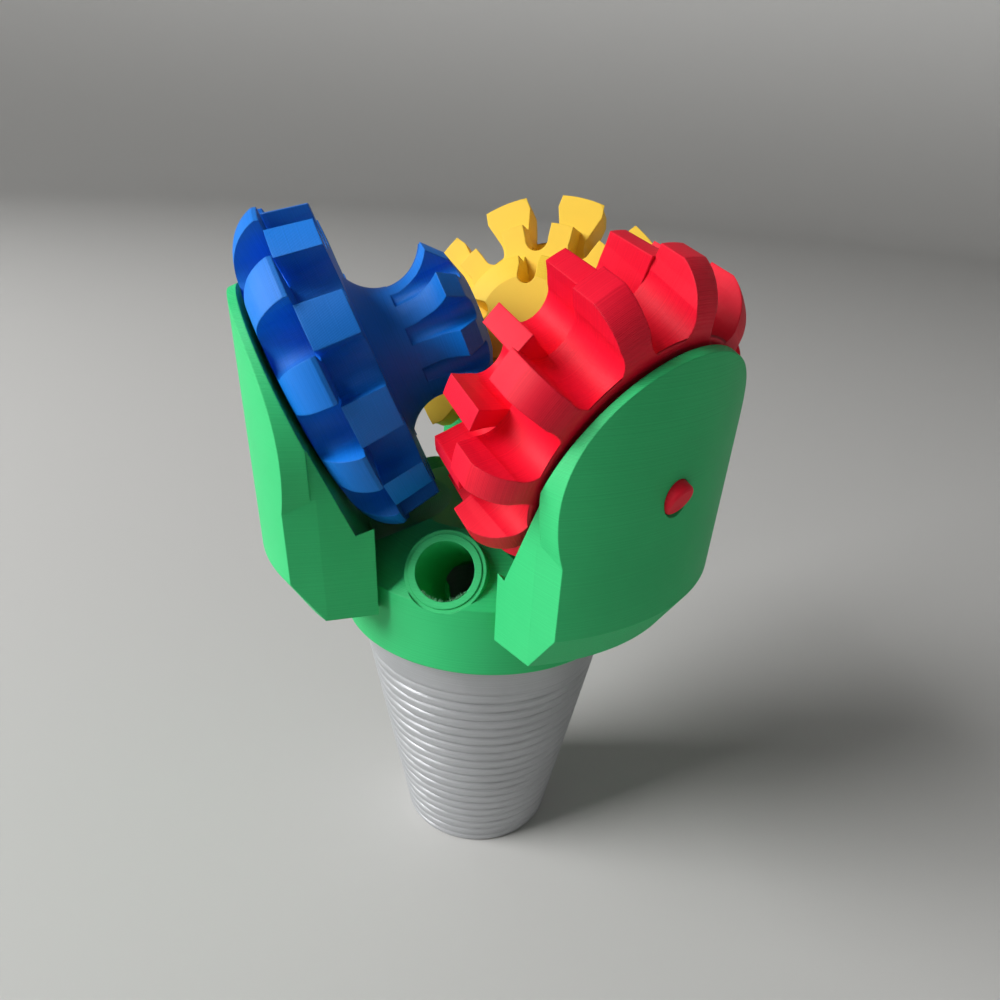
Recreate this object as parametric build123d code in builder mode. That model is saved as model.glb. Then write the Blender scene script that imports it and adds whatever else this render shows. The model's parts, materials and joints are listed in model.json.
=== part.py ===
"""Tricone drill bit: a tapered threaded pin, a crown with three jet nozzles,
three legs and three toothed cones that roll on inclined journals.

Frame: +Z up through the bit, origin at the centre of the pin's bottom face.
Azimuth 0 points along -Y and grows towards +X. Millimetres.
"""
import os
from dataclasses import dataclass
from math import cos, radians, sin

from build123d import *

# ---- gauge and heights -------------------------------------------------
GAUGE_R = 50.0          # outer wall of the legs
CROWN_R = 33.4          # round rim of the crown
CROWN_BASE = 67.5       # joint between pin and crown
CROWN_EDGE = 83.5       # where the rim turns into the shoulder
CROWN_TOP = 94.0
CROWN_TOP_R = 19.0
ABOVE_ALL = 140.0       # higher than any leg
THROUGH = 60.0          # a cut this long leaves nothing behind it

# ---- pin ---------------------------------------------------------------
PIN_TIP_R = 19.7
PIN_TOP_R = 30.4
BORE_R = 9.0            # fluid bore up the pin
PLENUM_R = 12.5
PLENUM_TOP = 82.0
PLENUM_CHAMFER = 5.0
FUNNEL_H = 6.0          # bore opens into the plenum over this height
SPIGOT_R = 22.0
SPIGOT_H = 2.0
EDGE_R = 0.7            # bead round the lower edges of pin and rim

# ---- journals ----------------------------------------------------------
TILT = 23.5             # journal rises inwards by this much
AXIS_Z = 111.5          # journal height at the gauge wall
SKEW = -2.0             # journal set off to one side of the leg
AXLE_R = 3.2
AXLE_RUN = 0.08         # running clearance in the leg
AXLE_FIT = 0.02         # glued fit in the cone
AXLE_START = -1.0       # distances along the journal from the gauge wall
AXLE_END = 29.5
AXLE_ROUND = 0.8

# ---- legs --------------------------------------------------------------
LEG_HALF = 23.5         # half width of the parallel strip
LEG_BASE = 78.4
FOOT_R = 44.8           # the foot slopes in to this radius
FOOT_Z = 87.2
HEAD_R = 24.9
HEAD_Z = 108.4
LEG_FACE = 11.4         # inner face, along the journal
PAD_R = 15.0
PAD_H = 0.8
WAIST_R = 37.8          # inside this radius the sides are stepped in
WAIST_STEP = 0.9
WAIST_LOW = 85.7
WAIST_HIGH = 108.0
ROOT_R = 27.5           # the root ends this far from the centre line

# ---- nozzles -----------------------------------------------------------
NOZZLE_TILT = 38.0
NOZZLE_OUT = 28.2
NOZZLE_Z = 88.6
BOSS_R = 8.6
BOSS_LEN = 16.0
MOUTH_ROOM = 4.0        # rim is cut clear this far in front of the mouth
SLEEVE_R = 7.7
JET_R = 6.2
FEED_R = 5.2            # drilled feed behind the sleeve
FEED_LEN = 14.0
SLEEVE_LEN = 12.0
SLEEVE_PROUD = 0.3

# ---- cones, as (radius, distance along the journal) ---------------------
CONE_SET = 1.5          # cones' own zero, along the journal from the gauge wall
CONE_BACK = 11.2        # flat back of a cone
SOCKET_END = 28.0       # bottom of the axle's socket
HUB_R = 20.0            # flat part of the back
HEEL_AT = 18.5          # where the teeth are widest
SWEEP = 1.1             # room round the turning cones in crown and legs
TIP_R = {"leg_1": 31.5, "leg_2": 31.5, "leg_3": 33.0}

LEGS = {"leg_1": 60, "leg_2": -60, "leg_3": 180}
NOZZLES = {"nozzle_1": 0, "nozzle_2": 120, "nozzle_3": 240}


def outward(az):
    """Horizontal unit vector away from the bit's centre line."""
    return Vector(sin(radians(az)), -cos(radians(az)), 0)


def sideways(az):
    return Vector(cos(radians(az)), sin(radians(az)), 0)


def journal(az, skew=SKEW, z=AXIS_Z):
    """Plane at the gauge wall, seen from the inside: its normal runs inwards and up
    along the journal, and its y points up the leg."""
    inward = outward(az) * -cos(radians(TILT)) + Vector(0, 0, sin(radians(TILT)))
    centre = outward(az) * GAUGE_R + sideways(az) * skew + Vector(0, 0, z)
    return Plane(origin=centre, x_dir=sideways(az) * -1, z_dir=inward)


def nozzle_mouth(az):
    """Plane of a nozzle's mouth, its normal along the jet."""
    aim = outward(az) * cos(radians(NOZZLE_TILT)) + Vector(0, 0, sin(radians(NOZZLE_TILT)))
    mouth = outward(az) * NOZZLE_OUT + Vector(0, 0, NOZZLE_Z)
    return Plane(origin=mouth, x_dir=sideways(az), z_dir=aim)


def meridian(base):
    """Plane through another plane's normal: x is the radius, y runs along the normal."""
    return Plane(origin=base.origin, x_dir=base.x_dir, z_dir=base.x_dir.cross(base.z_dir))


# ---- pin: tapered plug with a register on top, hollow for the fluid ------
with BuildPart() as threaded_pin:
    with BuildSketch(Plane.XZ):
        with BuildLine():
            Polyline(
                (BORE_R, 0), (PIN_TIP_R, 0), (PIN_TOP_R, CROWN_BASE), (SPIGOT_R, CROWN_BASE),
                (SPIGOT_R, CROWN_BASE + SPIGOT_H), (PLENUM_R, CROWN_BASE + SPIGOT_H),
                (BORE_R, CROWN_BASE - FUNNEL_H), close=True,
            )
        make_face()
    revolve(axis=Axis.Z)
    tip = threaded_pin.edges().filter_by(GeomType.CIRCLE).group_by(Axis.Z)[0]
    fillet(tip.sort_by(SortBy.LENGTH)[-1], EDGE_R)

threaded_pin.part.label = "threaded_pin"


# ---- crown: rim, sloping shoulder, plenum and three nozzle bosses --------
with BuildPart() as crown:
    with BuildSketch(Plane.XZ):
        with BuildLine():
            Polyline(
                (0, CROWN_BASE), (CROWN_R, CROWN_BASE), (CROWN_R, CROWN_EDGE),
                (CROWN_TOP_R, CROWN_TOP), (0, CROWN_TOP), close=True,
            )
        make_face()
    revolve(axis=Axis.Z)
    lower_rim = crown.edges().filter_by(GeomType.CIRCLE).group_by(Axis.Z)[0]
    fillet(lower_rim, EDGE_R)
    for az in NOZZLES.values():
        with BuildSketch(nozzle_mouth(az)):
            Circle(BOSS_R)
        extrude(amount=-BOSS_LEN)
    # plenum, with the register for the pin
    with BuildSketch(Plane.XZ):
        with BuildLine():
            Polyline(
                (0, CROWN_BASE), (SPIGOT_R, CROWN_BASE), (SPIGOT_R, CROWN_BASE + SPIGOT_H),
                (PLENUM_R, CROWN_BASE + SPIGOT_H), (PLENUM_R, PLENUM_TOP - PLENUM_CHAMFER),
                (PLENUM_R - PLENUM_CHAMFER, PLENUM_TOP), (0, PLENUM_TOP), close=True,
            )
        make_face()
    revolve(axis=Axis.Z, mode=Mode.SUBTRACT)
    for az in NOZZLES.values():
        with BuildSketch(nozzle_mouth(az)):
            Circle(SLEEVE_R)
        extrude(amount=-SLEEVE_LEN, mode=Mode.SUBTRACT)
        with BuildSketch(nozzle_mouth(az)):
            Circle(BOSS_R)
        extrude(amount=MOUTH_ROOM, mode=Mode.SUBTRACT)
        with BuildSketch(nozzle_mouth(az).offset(-SLEEVE_LEN)):
            Circle(FEED_R)
        extrude(amount=-FEED_LEN, mode=Mode.SUBTRACT)
    # room for the turning cones
    for leg, az in LEGS.items():
        with BuildSketch(journal(az).offset(LEG_FACE)):
            Circle(TIP_R[leg] + SWEEP)
        extrude(amount=THROUGH, mode=Mode.SUBTRACT)

crown.part.label = "crown"


# ---- legs ----------------------------------------------------------------
def make_leg(az, tip):
    """A leg: round head square to the journal on a parallel shank, a sloping foot,
    sides stepped in behind the gauge wall, and a bored face with a thrust pad."""
    bore = journal(az)
    root = Plane(origin=outward(az) * ROOT_R, x_dir=sideways(az), z_dir=outward(az))
    side = Plane(origin=(0, 0, 0), x_dir=outward(az), z_dir=sideways(az) * -1)

    with BuildPart() as leg:
        # shank and head, seen along the journal
        with BuildSketch(journal(az, skew=0, z=HEAD_Z).offset(-GAUGE_R / 2)):
            Circle(HEAD_R)
            with Locations((0, -HEAD_R)):
                Rectangle(2 * LEG_HALF, 2 * HEAD_R)
        extrude(amount=THROUGH)
        # gauge wall and foot
        with BuildSketch(Plane.XZ):
            with BuildLine():
                Polyline(
                    (0, LEG_BASE), (FOOT_R, LEG_BASE), (GAUGE_R, FOOT_Z),
                    (GAUGE_R, ABOVE_ALL), (0, ABOVE_ALL), close=True,
                )
            make_face()
        revolve(axis=Axis.Z, mode=Mode.INTERSECT)
        split(bisect_by=root, keep=Keep.TOP)
        # seat on the crown
        with BuildSketch(Plane.XZ):
            with BuildLine():
                Polyline(
                    (0, 0), (CROWN_R, 0), (CROWN_R, CROWN_EDGE),
                    (CROWN_TOP_R, CROWN_TOP), (0, CROWN_TOP), close=True,
                )
            make_face()
        revolve(axis=Axis.Z, mode=Mode.SUBTRACT)
        # inner face, leaving the web that runs down to the crown
        with BuildSketch(bore.offset(LEG_FACE)):
            Circle(tip + SWEEP)
        extrude(amount=THROUGH, mode=Mode.SUBTRACT)
        # sides stepped in behind the gauge wall
        for hand in (1, -1):
            with BuildSketch(side.offset(hand * (LEG_HALF - WAIST_STEP))):
                with BuildLine():
                    Polyline(
                        (WAIST_R, WAIST_LOW), (WAIST_R, WAIST_HIGH), (ROOT_R - 1, WAIST_HIGH + 6),
                        (ROOT_R - 1, WAIST_LOW - 3), close=True,
                    )
                make_face()
            extrude(amount=hand * HEAD_R, mode=Mode.SUBTRACT)
        # thrust pad and journal bore
        with BuildSketch(bore.offset(LEG_FACE)):
            Circle(PAD_R)
        extrude(amount=PAD_H)
        with BuildSketch(bore.offset(-LEG_FACE)):
            Circle(AXLE_R + AXLE_RUN)
        extrude(amount=THROUGH, mode=Mode.SUBTRACT)
    return leg


legs = {name: make_leg(az, TIP_R[name]) for name, az in LEGS.items()}


# ---- nozzle sleeves ------------------------------------------------------
def make_nozzle(az):
    """A plain sleeve pressed into its boss, a hair proud of it."""
    with BuildPart() as sleeve:
        with BuildSketch(nozzle_mouth(az).offset(-SLEEVE_LEN)):
            Circle(SLEEVE_R)
            Circle(JET_R, mode=Mode.SUBTRACT)
        extrude(amount=SLEEVE_LEN + SLEEVE_PROUD)
    return sleeve


nozzles = {name: make_nozzle(az) for name, az in NOZZLES.items()}


# ---- cones ---------------------------------------------------------------
@dataclass
class Row:
    """A ring of teeth, cut as gaps that are round at the root and flare at the mouth."""
    teeth: int
    first: float        # angle of a tooth from straight up, towards the leg's +side
    start: float        # extent along the journal
    end: float
    root: float         # radius at the bottom of a gap
    gullet: float       # round bottom of a gap
    waist: float        # half gap where the teeth are widest
    waist_at: float
    mouth: float        # half gap at the tips
    tip: float


def make_cone(leg, heel_to_nose, rows):
    """A toothed cone: its outline turned about the journal, then the gaps of each row.

    heel_to_nose: draws the outline from the heel to the nose, and returns the nose's place
    """
    base = journal(LEGS[leg]).offset(CONE_SET)
    tip = TIP_R[leg]
    socket = AXLE_R + AXLE_FIT
    with BuildPart() as cone:
        with BuildSketch(meridian(base)):
            with BuildLine():
                Polyline((socket, SOCKET_END), (socket, CONE_BACK), (HUB_R, CONE_BACK))
                ThreePointArc((HUB_R, CONE_BACK), (tip - 2.8, CONE_BACK + 2.3), (tip, HEEL_AT))
                nose = heel_to_nose((tip, HEEL_AT))
                Polyline((0, nose), (0, SOCKET_END), (socket, SOCKET_END))
            make_face()
        revolve(axis=Axis(base.origin, base.z_dir))
        for row in rows:
            pitch = 360 / row.teeth
            hub = row.root + row.gullet
            reach = row.tip + 2 - hub
            belly = row.waist_at - hub
            with BuildSketch(base.offset(row.start)):
                with PolarLocations(hub, row.teeth, start_angle=90 + row.first + pitch / 2):
                    Circle(row.gullet)
                    Polygon(
                        (0, -row.gullet), (belly, -row.waist), (reach, -row.mouth),
                        (reach, row.mouth), (belly, row.waist), (0, row.gullet), align=None,
                    )
            extrude(amount=row.end - row.start, mode=Mode.SUBTRACT)
    return cone


def blue_outline(heel):
    """Block teeth with a flat front, a hollow waist and a flared toothed nose."""
    Polyline(heel, (31.3, 19.3), (30.0, 19.3), (28.5, 27.6), (16.0, 27.6))
    ThreePointArc((16.0, 27.6), (11.2, 34.0), (15.8, 43.5))
    Polyline((15.8, 43.5), (12.5, 47.0), (7.5, 49.0), (0, 49.0))
    return 49.0


def red_outline(heel):
    """Two rows of chisel teeth close together and a small blunt nose."""
    Polyline(
        heel, (30.9, 23.2), (28.9, 23.2), (27.4, 32.5), (15.0, 32.5), (11.0, 35.5),
        (7.0, 37.0), (0, 37.0),
    )
    return 37.0


def yellow_outline(heel):
    """Paddle teeth, a low row of small chisels and a thick lobed nose."""
    Polyline(
        heel, (32.6, 20.6), (25.6, 20.6), (24.2, 28.2), (17.5, 28.2), (15.5, 31.0),
        (15.0, 36.8), (10.0, 39.4), (0, 39.4),
    )
    return 39.4


cones = {
    "cone_blue": make_cone("leg_2", blue_outline, [
        Row(11, 42.0, 11.0, 19.3, 22.0, 4.4, 4.6, 29.0, 5.4, 31.5),
        Row(11, 58.4, 19.3, 27.7, 21.5, 4.2, 4.3, 27.0, 4.9, 30.0),
        Row(9, 9.0, 34.5, 49.1, 10.2, 2.0, 2.4, 13.5, 3.8, 15.8),
    ]),
    "cone_red": make_cone("leg_1", red_outline, [
        Row(11, 2.0, 11.0, 23.2, 21.6, 4.9, 5.5, 28.5, 6.7, 31.5),
        Row(13, -0.5, 23.2, 32.6, 18.5, 3.8, 4.4, 25.0, 5.2, 28.9),
    ]),
    "cone_yellow": make_cone("leg_3", yellow_outline, [
        Row(11, -7.5, 11.0, 20.6, 20.6, 3.7, 3.3, 30.0, 5.4, 33.0),
        Row(13, -5.0, 20.6, 28.3, 18.4, 2.6, 3.2, 23.5, 4.0, 25.6),
        Row(5, 43.0, 28.2, 39.5, 8.5, 2.0, 2.0, 13.0, 3.2, 15.5),
    ]),
}


# ---- axles ---------------------------------------------------------------
def make_axle(az):
    """A plain pin, fast in its cone, that runs in the leg and shows at the wall."""
    with BuildPart() as axle:
        with BuildSketch(journal(az).offset(AXLE_START)):
            Circle(AXLE_R)
        extrude(amount=AXLE_END - AXLE_START)
        ends = axle.edges().filter_by(GeomType.CIRCLE)
        fillet(ends.sort_by_distance(journal(az).origin)[0], AXLE_ROUND)
    return axle


axles = {
    "axle_blue": make_axle(LEGS["leg_2"]),
    "axle_red": make_axle(LEGS["leg_1"]),
    "axle_yellow": make_axle(LEGS["leg_3"]),
}


os.makedirs("parts", exist_ok=True)
bit = {"threaded_pin": threaded_pin, "crown": crown, **legs, **nozzles, **cones, **axles}
for name, piece in bit.items():
    piece.part.label = name
    export_step(piece.part, f"parts/{name}.step")
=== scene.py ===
import bmesh
import bpy
import json
import random
from math import cos, pi, radians, sin
from mathutils import Matrix, Vector
from mathutils.bvhtree import BVHTree
from mathutils.interpolate import poly_3d_calc


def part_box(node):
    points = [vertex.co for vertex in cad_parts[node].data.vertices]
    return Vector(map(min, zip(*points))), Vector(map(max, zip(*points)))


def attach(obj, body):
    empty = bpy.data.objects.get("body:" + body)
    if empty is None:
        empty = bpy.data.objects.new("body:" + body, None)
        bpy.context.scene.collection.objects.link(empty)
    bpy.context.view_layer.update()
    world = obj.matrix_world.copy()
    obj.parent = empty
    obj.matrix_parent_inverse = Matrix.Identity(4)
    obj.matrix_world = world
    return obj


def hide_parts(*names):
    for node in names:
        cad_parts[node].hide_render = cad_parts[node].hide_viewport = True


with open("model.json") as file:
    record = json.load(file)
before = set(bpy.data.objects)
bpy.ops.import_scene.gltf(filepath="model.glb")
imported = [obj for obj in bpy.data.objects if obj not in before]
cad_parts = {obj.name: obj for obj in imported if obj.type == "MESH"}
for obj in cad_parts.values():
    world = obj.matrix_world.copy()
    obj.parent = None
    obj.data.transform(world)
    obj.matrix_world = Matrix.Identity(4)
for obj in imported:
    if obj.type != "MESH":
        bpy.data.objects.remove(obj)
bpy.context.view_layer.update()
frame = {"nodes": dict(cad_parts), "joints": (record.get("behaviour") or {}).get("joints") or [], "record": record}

MM = 0.001
UP = Vector((0, 0, 1))
mounts = {mount["name"]: mount for mount in frame["record"]["mounts"]}
journals = {joint["child"].split("_")[0]: joint for joint in frame["joints"]}
CONE_ON = {"leg_1": "red", "leg_2": "blue", "leg_3": "yellow"}
LEG_AT = {"leg_1": 60, "leg_2": -60, "leg_3": 180}


def ways_at(azimuth):
    """Outward and sideways at an azimuth in degrees, counted from the front."""
    turn = radians(azimuth)
    return Vector((sin(turn), -cos(turn), 0)), Vector((cos(turn), sin(turn), 0))


def journal(colour):
    """The point that a cone's journal starts from, and the way it runs, inward and up."""
    joint = journals[colour]
    return Vector(joint["pos_m"]), Vector(joint["axis"])


def jet_at(n):
    """The middle of a jet's mouth, the way it points, out and up, and its radius in mm."""
    jet = mounts[f"nozzle_bore_{n}"]
    aim = Vector(jet["axis"])
    return Vector(jet["pos_m"]), (aim if aim.z > 0 else -aim), jet["dims"]["r_mm"]


# --- Printed plastic --------------------------------------------------------------
# Every part is built up in layers, which show as fine steps, and its edges are softened
# by the width of a bead of plastic.
LAYER = 0.2 * MM
UNEVEN = 1.2
SOFT_EDGE = 0.35 * MM
CLOUDS_PER_M = 60


def maths(tree, how, *values):
    """A maths node fed by sockets and plain numbers; gives back its result."""
    step = tree.nodes.new("ShaderNodeMath")
    step.operation = how
    for place, value in zip(step.inputs, values):
        if isinstance(value, bpy.types.NodeSocket):
            tree.links.new(value, place)
        else:
            place.default_value = value
    return step.outputs[0]


def printed_plastic(name, colour, along, relief=0.03 * MM, rough=0.5, fleck=0.05, metal=0.0):
    """Plastic laid down in layers square to the direction `along`, with slightly uneven
    layers, cloudy colour and softened edges."""
    mat = bpy.data.materials.new(name)
    mat.use_nodes = True
    tree = mat.node_tree
    nodes, links = tree.nodes, tree.links
    shader = nodes["Principled BSDF"]
    shader.inputs["Roughness"].default_value = rough
    shader.inputs["Metallic"].default_value = metal
    shader.inputs["Specular IOR Level"].default_value = 0.3

    place = nodes.new("ShaderNodeTexCoord").outputs["Object"]
    height = nodes.new("ShaderNodeVectorMath")
    height.operation = "DOT_PRODUCT"
    height.inputs[1].default_value = along
    links.new(place, height.inputs[0])
    level = height.outputs["Value"]

    # every bead is a rounded ridge, and some layers stand out more than others
    bead = maths(tree, "SINE", maths(tree, "MULTIPLY", level, 2 * pi / LAYER))
    uneven = nodes.new("ShaderNodeTexNoise")
    uneven.noise_dimensions = "1D"
    uneven.inputs["Scale"].default_value = 0.8 / LAYER
    uneven.inputs["Detail"].default_value = 1
    links.new(level, uneven.inputs["W"])
    ridge = maths(tree, "MULTIPLY_ADD", uneven.outputs["Fac"], UNEVEN, bead)

    soft_edge = nodes.new("ShaderNodeBevel")
    soft_edge.samples = 4
    soft_edge.inputs["Radius"].default_value = SOFT_EDGE
    bump = nodes.new("ShaderNodeBump")
    bump.inputs["Strength"].default_value = 0.4
    bump.inputs["Distance"].default_value = relief
    links.new(ridge, bump.inputs["Height"])
    links.new(soft_edge.outputs["Normal"], bump.inputs["Normal"])
    links.new(bump.outputs["Normal"], shader.inputs["Normal"])

    # the pigment is cloudy and varies a little from layer to layer
    cloud = nodes.new("ShaderNodeTexNoise")
    cloud.inputs["Scale"].default_value = CLOUDS_PER_M
    cloud.inputs["Detail"].default_value = 5
    links.new(place, cloud.inputs["Vector"])
    both = maths(tree, "MULTIPLY", cloud.outputs["Fac"], uneven.outputs["Fac"])
    tint = nodes.new("ShaderNodeValToRGB")
    dark, light = tint.color_ramp.elements
    dark.position = 0.12
    light.position = 0.42
    dark.color = [c * (1 - fleck) for c in colour] + [1]
    light.color = [min(1, c * (1 + fleck) + 0.15 * fleck) for c in colour] + [1]
    links.new(both, tint.inputs["Fac"])
    links.new(tint.outputs["Color"], shader.inputs["Base Color"])
    return mat


def finish(node, mat):
    """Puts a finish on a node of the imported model."""
    obj = frame["nodes"][node]
    for slot in obj.material_slots:
        slot.link = "OBJECT"
        slot.material = mat


# --- Shaping a node further -------------------------------------------------------
# A piece starts from its node's own mesh. Tools cut it or are joined on, and faces that
# no tool touched keep the roundness that they had.
WELD = 1e-7
ON_SURFACE = 2e-7
SAME_WAY = 0.9999


def made(name, shape, mesh=None):
    """Puts a worked-out shape into the scene as a new object."""
    mesh = mesh or bpy.data.meshes.new(name)
    shape.to_mesh(mesh)
    shape.free()
    piece = bpy.data.objects.new(name, mesh)
    bpy.context.collection.objects.link(piece)
    return piece


def welded(node, name):
    """A piece with a node's own mesh, its doubled points welded so that it can be cut."""
    mesh = frame["nodes"][node].data.copy()
    shape = bmesh.new()
    shape.from_mesh(mesh)
    bmesh.ops.remove_doubles(shape, verts=shape.verts, dist=WELD)
    return made(name, shape, mesh)


def laid_along(x, y, z, centre=(0, 0, 0)):
    """Puts a tool drawn in millimetres along three given ways, from a centre."""
    turn = Matrix((x, y, z)).transposed().to_4x4()
    return Matrix.Translation(centre) @ turn @ Matrix.Scale(MM, 4)


def rod(centre, axis, radius, length, around=96):
    """A round tool that starts at `centre` and runs along `axis`."""
    shape = bmesh.new()
    bmesh.ops.create_cone(shape, cap_ends=True, segments=around, radius1=radius, radius2=radius,
                          depth=length)
    turn = axis.to_track_quat("Z", "Y").to_matrix().to_4x4()
    middle = centre + axis.normalized() * length / 2
    shape.transform(Matrix.Translation(middle) @ turn)
    return made("rod", shape)


def prism(corners, low, high, place):
    """A straight bar with the given corners, from height low to high, put in place."""
    shape = bmesh.new()
    ends = [[shape.verts.new((x, y, z)) for x, y in corners] for z in (low, high)]
    for end in ends:
        shape.faces.new(end)
    for a, b, c, d in zip(ends[0], ends[0][1:] + ends[0][:1], ends[1][1:] + ends[1][:1], ends[1]):
        shape.faces.new((a, b, c, d))
    shape.transform(place)
    bmesh.ops.recalc_face_normals(shape, faces=shape.faces)
    return made("prism", shape)


def work(piece, tool, how):
    """Cuts a tool from a piece or joins it on, and puts the tool away."""
    step = piece.modifiers.new("work", "BOOLEAN")
    step.object = tool
    step.operation = how
    step.solver = "MANIFOLD"
    view = bpy.context.evaluated_depsgraph_get()
    result = bpy.data.meshes.new_from_object(piece.evaluated_get(view))
    piece.modifiers.remove(step)
    piece.data = result
    bpy.data.objects.remove(tool)


def keep_shading(piece, node):
    """Lets the faces that no tool touched keep the roundness of the node's own surfaces;
    a cut face stays flat."""
    source = frame["nodes"][node].data
    source.calc_loop_triangles()
    triangles = source.loop_triangles
    points = [v.co.copy() for v in source.vertices]
    near = BVHTree.FromPolygons(points, [t.vertices[:] for t in triangles])
    normals = [face.normal.copy() for face in piece.data.polygons for _ in face.loop_indices]
    for face in piece.data.polygons:
        _, way, index, far = near.find_nearest(face.center)
        if far > ON_SURFACE or way.dot(face.normal) < SAME_WAY:
            continue
        corners = [points[v] for v in triangles[index].vertices]
        bends = [source.corner_normals[i].vector for i in triangles[index].loops]
        for loop in face.loop_indices:
            spot = piece.data.vertices[piece.data.loops[loop].vertex_index].co
            shares = poly_3d_calc(corners, spot)
            bend = sum((b * w for b, w in zip(bends, shares)), Vector())
            if bend.dot(face.normal) > 0.5:
                normals[loop] = bend.normalized()
    piece.data.normals_split_custom_set(normals)


def printed(piece, node, mat, body="bit_body"):
    """Gives a reworked piece its finish and lets it stand for its node."""
    piece.data.materials.clear()
    piece.data.materials.append(mat)
    for face in piece.data.polygons:
        face.material_index = 0
        face.use_smooth = True
    keep_shading(piece, node)
    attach(piece, body)
    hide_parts(node)


# --- Crown and nozzles ------------------------------------------------------------
# The crown, its three legs and the nozzle sleeves are one green plastic, in level layers.
# Behind their sleeves the jets run straight on into the crown.
GREEN = (0.032, 0.590, 0.188)
SLEEVE = 12.0 * MM
SLEEVE_LAP = 0.2 * MM
DRILLED_ON = 10 * MM

green = printed_plastic("green_print", GREEN, UP)
crown = welded("crown", "green_crown")
for n in (1, 2, 3):
    mouth, aim, radius = jet_at(n)
    behind = mouth - aim * (SLEEVE - SLEEVE_LAP)
    work(crown, rod(behind, -aim, radius * MM, DRILLED_ON), "DIFFERENCE")
printed(crown, "crown", green)
for node in ("nozzle_1", "nozzle_2", "nozzle_3"):
    finish(node, green)

# --- Legs -------------------------------------------------------------------------
# Behind its gauge wall each leg's sides draw in, along an upright crease, with a flat
# facet. A cheek first fills the side of the recess that the cone turns in, and a wedge
# then cuts leg and cheek to the facet. These sizes are in millimetres: half widths count
# from the leg's middle plane, low and high from the floor, the rest from the bit's axis.
HALF_WIDTH = 23.5
CREASE_AT, ROOT_AT = 37.8, 27.52
DRAWN_IN = 0.9
SLOPE = DRAWN_IN / (CREASE_AT - ROOT_AT)
CREASE_LOW, CREASE_HIGH = 85.6, 108.1
ROOT_LOW, ROOT_HIGH = 82.8, 113.5
CHEEK_LAP, CHEEK_DEPTH, CHEEK_PROUD = 0.1, 0.3, 0.05
WEDGE_INNER, WEDGE_OUTER, WEDGE_HALF = 20, CREASE_AT + 1, 30
WEDGE_LOW, WEDGE_HIGH = 70, 125

# the room that each cone turns in: its radius, and where along the journal it begins
ROOM_R = {"leg_1": 32.6, "leg_2": 32.6, "leg_3": 34.1}
ROOM_AT, ROOM_LENGTH = 11.4, 60


def cheek(leg, out, side):
    """Fills a leg's side between its crease and its root, clear of the turning cone."""
    reach = CREASE_AT + CHEEK_LAP
    corners = ((reach, CREASE_LOW), (reach, CREASE_HIGH), (ROOT_AT, ROOT_HIGH), (ROOT_AT, ROOT_LOW))
    bar = prism(corners, HALF_WIDTH - DRAWN_IN - CHEEK_DEPTH, HALF_WIDTH + CHEEK_PROUD,
                laid_along(out, UP, side))
    centre, inward = journal(CONE_ON[leg])
    room = rod(centre + inward * ROOM_AT * MM, inward, ROOM_R[leg] * MM, ROOM_LENGTH * MM, around=192)
    work(bar, room, "DIFFERENCE")
    return bar


def wedge(out, side):
    """The plastic beyond a leg's drawn-in facet."""
    corners = ((WEDGE_OUTER, HALF_WIDTH + SLOPE), (WEDGE_OUTER, WEDGE_HALF),
               (WEDGE_INNER, WEDGE_HALF), (WEDGE_INNER, HALF_WIDTH - SLOPE * (CREASE_AT - WEDGE_INNER)))
    return prism(corners, WEDGE_LOW, WEDGE_HIGH, laid_along(out, side, UP))


for leg, azimuth in LEG_AT.items():
    out, across = ways_at(azimuth)
    piece = welded(leg, f"green_{leg}")
    for side in (across, -across):
        work(piece, cheek(leg, out, side), "UNION")
        work(piece, wedge(out, side), "DIFFERENCE")
    printed(piece, leg, green)

# --- Stringing --------------------------------------------------------------------
# Where the print head left the plastic it pulled short pale hairs: a beard on the lower
# lip of each jet, and burrs on the pin's collar right under the crown's rim.
BEARD_HAIRS = 90
BEARD_FROM, BEARD_TO = -62, 38
TIP_SHARE = 0.3


def hairs(name, ends, thick, mat):
    """Short tapering hairs, each given by its root and its tip."""
    curve = bpy.data.curves.new(name, "CURVE")
    curve.dimensions = "3D"
    curve.bevel_depth = thick
    curve.bevel_resolution = 1
    curve.use_fill_caps = True
    for root, tip in ends:
        hair = curve.splines.new("POLY")
        hair.points.add(2)
        for point, share in zip(hair.points, (0, 0.5, 1)):
            point.co = (*root.lerp(tip, share), 1)
            point.radius = 1 - (1 - TIP_SHARE) * share
    piece = bpy.data.objects.new(name, curve)
    piece.data.materials.append(mat)
    bpy.context.collection.objects.link(piece)
    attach(piece, "bit_body")


chance = random.Random(7)
fuzz = printed_plastic("green_fuzz", (0.20, 0.66, 0.33), UP)
for n in (1, 2, 3):
    mouth, aim, radius = jet_at(n)
    level = aim.cross(UP).normalized()
    downhill = aim.cross(level).normalized()
    downhill = downhill if downhill.z < 0 else -downhill
    beard = []
    for _ in range(BEARD_HAIRS):
        turn = radians(chance.uniform(BEARD_FROM, BEARD_TO))
        out = downhill * cos(turn) + level * sin(turn)
        root = mouth + out * radius * MM + aim * chance.uniform(0.02, 0.26) * MM
        beard.append((root, root - out * chance.uniform(0.15, 0.75) * MM))
    hairs(f"jet_beard_{n}", beard, 0.08 * MM, fuzz)

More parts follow.
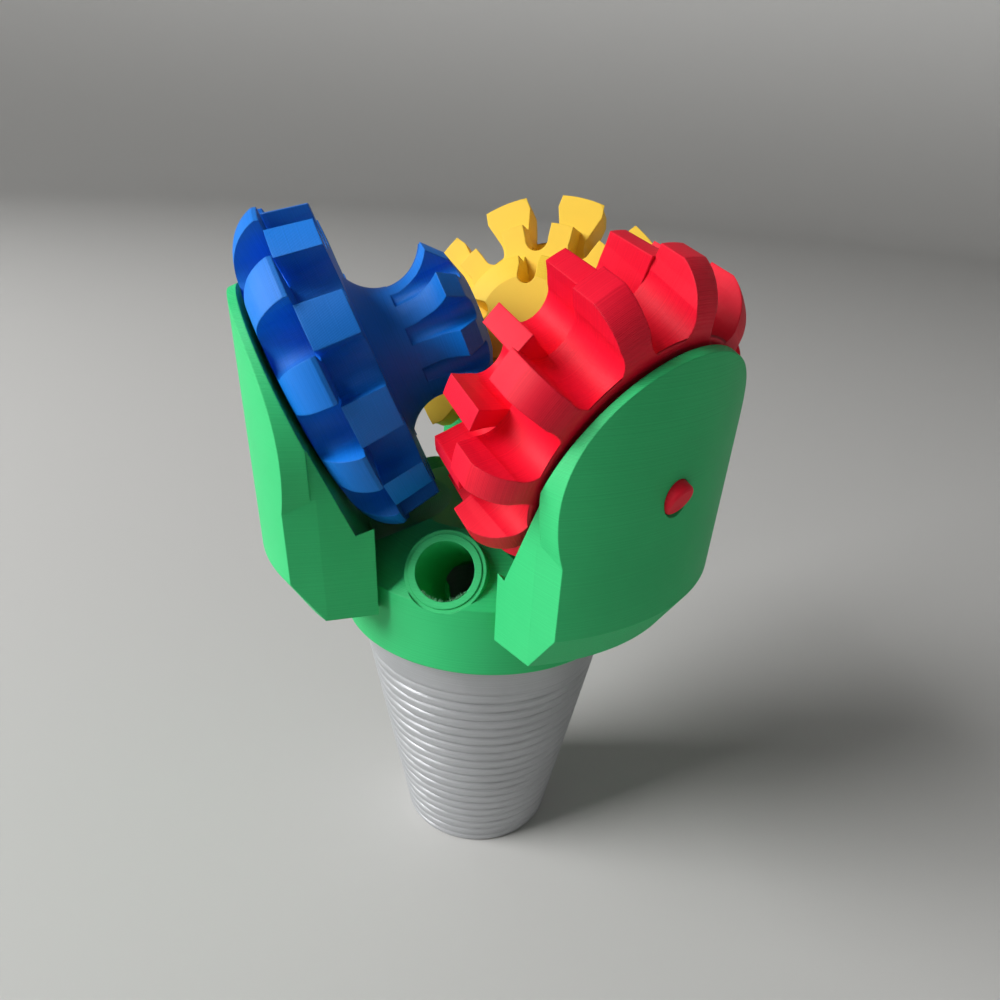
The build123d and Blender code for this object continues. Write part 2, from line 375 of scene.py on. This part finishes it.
# --- Threaded pin -----------------------------------------------------------------
# The tapered plug is printed upright in a silver plastic. A fine round thread runs up
# it from the tip to the plain collar under the crown. The bore is left open.
SILVER = (0.50, 0.51, 0.53)
TIP_R = 19.7 * MM
TIP_ROUND = 0.7 * MM
THREAD_TOP = 59.5 * MM
THREAD_PITCH = 2.95 * MM
THREAD_DEPTH = 0.5 * MM
THREAD_STEPS = 230
GROOVE_SHARPNESS = 1.9
RUN_OUT = 2.0 * MM
COLLAR_TOP = 67.5 * MM
COLLAR_BURRS = 170
REGISTER_R = 22 * MM
PLENUM_R = 12.5 * MM


def skin(shape, outline, around, closed):
    """Quads round the upright axis: outline(turn) gives the points at that angle as
    (radius, height), and a closed outline ends where it began."""
    rings = []
    for i in range(around):
        turn = 2 * pi * i / around
        rings.append([shape.verts.new((r * cos(turn), r * sin(turn), z)) for r, z in outline(turn)])
    for here, there in zip(rings, rings[1:] + rings[:1]):
        if closed:
            here, there = here + here[:1], there + there[:1]
        for corners in zip(here, there, there[1:], here[1:]):
            shape.faces.new(corners)
    return rings


pin_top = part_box("threaded_pin")[1]
collar_r = pin_top[0]
bore = mounts["fluid_bore"]["dims"]
bore_r, bore_top = bore["r_mm"] * MM, bore["length_mm"] * MM


def taper(z):
    return TIP_R + (collar_r - TIP_R) * z / COLLAR_TOP


def pin_column(turn):
    """The pin's outline at one angle, bottom to top outside and back down the bore. The
    thread has climbed by turn / full turn of its pitch."""
    outside = [(taper(0) - TIP_ROUND, 0), (taper(0) - 0.3 * TIP_ROUND, 0.3 * TIP_ROUND)]
    for i in range(THREAD_STEPS + 1):
        z = TIP_ROUND + (THREAD_TOP - TIP_ROUND) * i / THREAD_STEPS
        fade = min(1, (THREAD_TOP - z) / RUN_OUT, z / RUN_OUT)
        crest = abs(sin(pi * (z / THREAD_PITCH - turn / (2 * pi))))
        outside.append((taper(z) - THREAD_DEPTH * fade * (1 - crest) ** GROOVE_SHARPNESS, z))
    register = [(collar_r, COLLAR_TOP), (REGISTER_R, COLLAR_TOP), (REGISTER_R, pin_top[2])]
    inside = [(PLENUM_R, pin_top[2]), (bore_r, bore_top), (bore_r, 0)]
    return outside + register + inside


silver = printed_plastic("silver_print", SILVER, UP, rough=0.36, fleck=0.08, metal=0.45)
shape = bmesh.new()
skin(shape, pin_column, around=160, closed=True)
bmesh.ops.recalc_face_normals(shape, faces=shape.faces)
pin = made("thread_and_pin", shape)
pin.data.materials.append(silver)
for face in pin.data.polygons:
    face.use_smooth = True
pin.data.set_sharp_from_angle(angle=radians(50))
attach(pin, "bit_body")
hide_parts("threaded_pin")

burrs = []
for _ in range(COLLAR_BURRS):
    turn = radians(chance.uniform(0, 360))
    height = COLLAR_TOP - chance.uniform(0.2, 1.5) * MM
    out = Vector((cos(turn), sin(turn), 0))
    root = out * taper(height) + UP * height
    burrs.append((root, root + out * chance.uniform(0.1, 0.35) * MM
                  + out.cross(UP) * chance.uniform(-0.8, 0.8) * MM))
hairs("collar_burrs", burrs, 0.09 * MM, silver)

# --- Cones and axles --------------------------------------------------------------
# The layers of each cone lie square to its journal. Its axle is a plain pin of the same
# colour, fast in the cone, with its end in the leg's wall.
CONE_COLOURS = {
    "blue": (0.0, 0.190, 0.740),
    "red": (0.900, 0.001, 0.028),
    "yellow": (0.930, 0.620, 0.050),
}
prints = {}
for joint in frame["joints"]:
    colour = joint["child"].split("_")[0]
    prints[colour] = printed_plastic(f"{colour}_print", CONE_COLOURS[colour], joint["axis"],
                                     relief=0.04 * MM)
for node, colour in (("cone_blue", "blue"), ("cone_red", "red"), ("axle_red", "red"),
                     ("axle_yellow", "yellow")):
    finish(node, prints[colour])

# the blue axle is cut off just under the leg's wall
UNDER_WALL = 0.5
AXLE_CUT_R, AXLE_CUT_LENGTH = 8 * MM, 6 * MM
centre, _ = journal("blue")
out, _ = ways_at(LEG_AT["leg_2"])
axle = welded("axle_blue", "blue_axle")
work(axle, rod(centre - out * UNDER_WALL * MM, out, AXLE_CUT_R, AXLE_CUT_LENGTH), "DIFFERENCE")
printed(axle, "axle_blue", prints["blue"], "blue_cutter")

# the yellow paddles have their corners cut off, from the tip to the flank
PADDLES, PADDLE_TURN = 11, -7.5
TIP_HALF, TIP_AT = 2.4, 34
FLANK_HALF, FLANK_AT = 8, 28.4
PADDLE_LOW, PADDLE_HIGH = 10, 22.05
CORNER = ((TIP_HALF, TIP_AT), (FLANK_HALF, TIP_AT), (FLANK_HALF, FLANK_AT))
centre, inward = journal("yellow")
sideways = Vector((1, 0, 0))
upward = inward.cross(sideways)
cone = welded("cone_yellow", "yellow_cone")
for i in range(PADDLES):
    turn = radians(PADDLE_TURN + 360 / PADDLES * i)
    radial = upward * cos(turn) - sideways * sin(turn)
    flank = inward.cross(radial)
    for hand in (flank, -flank):
        corner = prism(CORNER, PADDLE_LOW, PADDLE_HIGH, laid_along(hand, radial, inward, centre))
        work(cone, corner, "DIFFERENCE")
printed(cone, "cone_yellow", prints["yellow"], "yellow_cutter")

# --- Floor ------------------------------------------------------------------------
# A pale round floor that curves up into a plain wall all round.
FLOOR_R, CURVE_R, WALL_TOP = 1.7, 0.8, 3.4
FLOOR_MIDDLE_R = 0.001
FLOOR_COLOUR = (0.58, 0.575, 0.56, 1)
WALL_GLOW = (0.92, 0.92, 0.90, 1)
GLOW_STRENGTH, FULL_GLOW_AT = 0.28, 0.9


def floor_outline(turn):
    outline = [(FLOOR_MIDDLE_R, 0)]
    for degrees in range(0, 91, 6):
        bend = radians(degrees)
        outline.append((FLOOR_R + CURVE_R * sin(bend), CURVE_R * (1 - cos(bend))))
    return outline + [(FLOOR_R + CURVE_R, WALL_TOP)]


def studio_paint():
    """A matt pale colour. The wall alone is paler where the camera sees it, so that the
    floor keeps its shadow."""
    mat = bpy.data.materials.new("pale_studio")
    mat.use_nodes = True
    tree = mat.node_tree
    shader = tree.nodes["Principled BSDF"]
    shader.inputs["Base Color"].default_value = FLOOR_COLOUR
    shader.inputs["Roughness"].default_value = 0.7
    shader.inputs["Emission Color"].default_value = WALL_GLOW
    split = tree.nodes.new("ShaderNodeSeparateXYZ")
    tree.links.new(tree.nodes.new("ShaderNodeNewGeometry").outputs["Position"], split.inputs[0])
    rise = tree.nodes.new("ShaderNodeMapRange")
    rise.interpolation_type = "SMOOTHSTEP"
    rise.inputs["From Max"].default_value = FULL_GLOW_AT
    rise.inputs["To Max"].default_value = GLOW_STRENGTH
    tree.links.new(split.outputs["Z"], rise.inputs["Value"])
    camera_ray = tree.nodes.new("ShaderNodeLightPath").outputs["Is Camera Ray"]
    glow = maths(tree, "MULTIPLY", rise.outputs["Result"], camera_ray)
    tree.links.new(glow, shader.inputs["Emission Strength"])
    return mat


shape = bmesh.new()
rings = skin(shape, floor_outline, around=128, closed=False)
shape.faces.new([ring[0] for ring in rings])
bmesh.ops.recalc_face_normals(shape, faces=shape.faces)
studio = made("pale_studio", shape)
for face in studio.data.polygons:
    face.use_smooth = len(face.vertices) == 4
studio.data.materials.append(studio_paint())

# --- Light ------------------------------------------------------------------------
# One broad soft window light from the left, a weak fill from the right and a dim room.
LIT_POINT = Vector((0, 0, 0.09))
ROOM_COLOUR, ROOM_STRENGTH = (0.80, 0.82, 0.85, 1), 0.12


def soft_light(name, size, power, place):
    """A square lamp that shines at the middle of the bit."""
    lamp = bpy.data.lights.new(name, "AREA")
    lamp.shape = "SQUARE"
    lamp.size = size
    lamp.energy = power
    obj = bpy.data.objects.new(name, lamp)
    obj.location = place
    obj.rotation_euler = (LIT_POINT - Vector(place)).to_track_quat("-Z", "Y").to_euler()
    bpy.context.collection.objects.link(obj)


soft_light("window", size=1.0, power=36.0, place=(-1.15, -0.72, 0.95))
soft_light("fill", size=0.8, power=0.12, place=(0.7, -0.4, 0.45))
world = bpy.data.worlds.new("room")
world.use_nodes = True
room = world.node_tree.nodes["Background"]
room.inputs["Color"].default_value = ROOM_COLOUR
room.inputs["Strength"].default_value = ROOM_STRENGTH
bpy.context.scene.world = world
bpy.context.scene.view_settings.view_transform = "Standard"

# --- Camera -----------------------------------------------------------------------
# Near the bit and well above it, a little to the right of its front nozzle.
TURN, TILT, ROLL = radians(14.0), radians(35.1), radians(4.3)
AWAY = 0.1944
TARGET_HEIGHT, TARGET_ASIDE = 0.0515, 0.0086

lens = bpy.data.cameras.new("camera")
lens.sensor_width = 36
lens.lens = 27
lens.shift_x = -0.016
lens.shift_y = 0.15
lens.clip_start = 0.01
camera = bpy.data.objects.new("camera", lens)
look_back = Vector((sin(TURN) * cos(TILT), -cos(TURN) * cos(TILT), sin(TILT)))
aside = Vector((cos(TURN), sin(TURN), 0))
above = look_back.cross(aside)
right = cos(ROLL) * aside + sin(ROLL) * above
up = cos(ROLL) * above - sin(ROLL) * aside
target = Vector((0, 0, TARGET_HEIGHT)) + aside * TARGET_ASIDE
facing = Matrix((right, up, look_back)).transposed().to_4x4()
camera.matrix_world = Matrix.Translation(target + look_back * AWAY) @ facing
bpy.context.collection.objects.link(camera)
bpy.context.scene.camera = camera
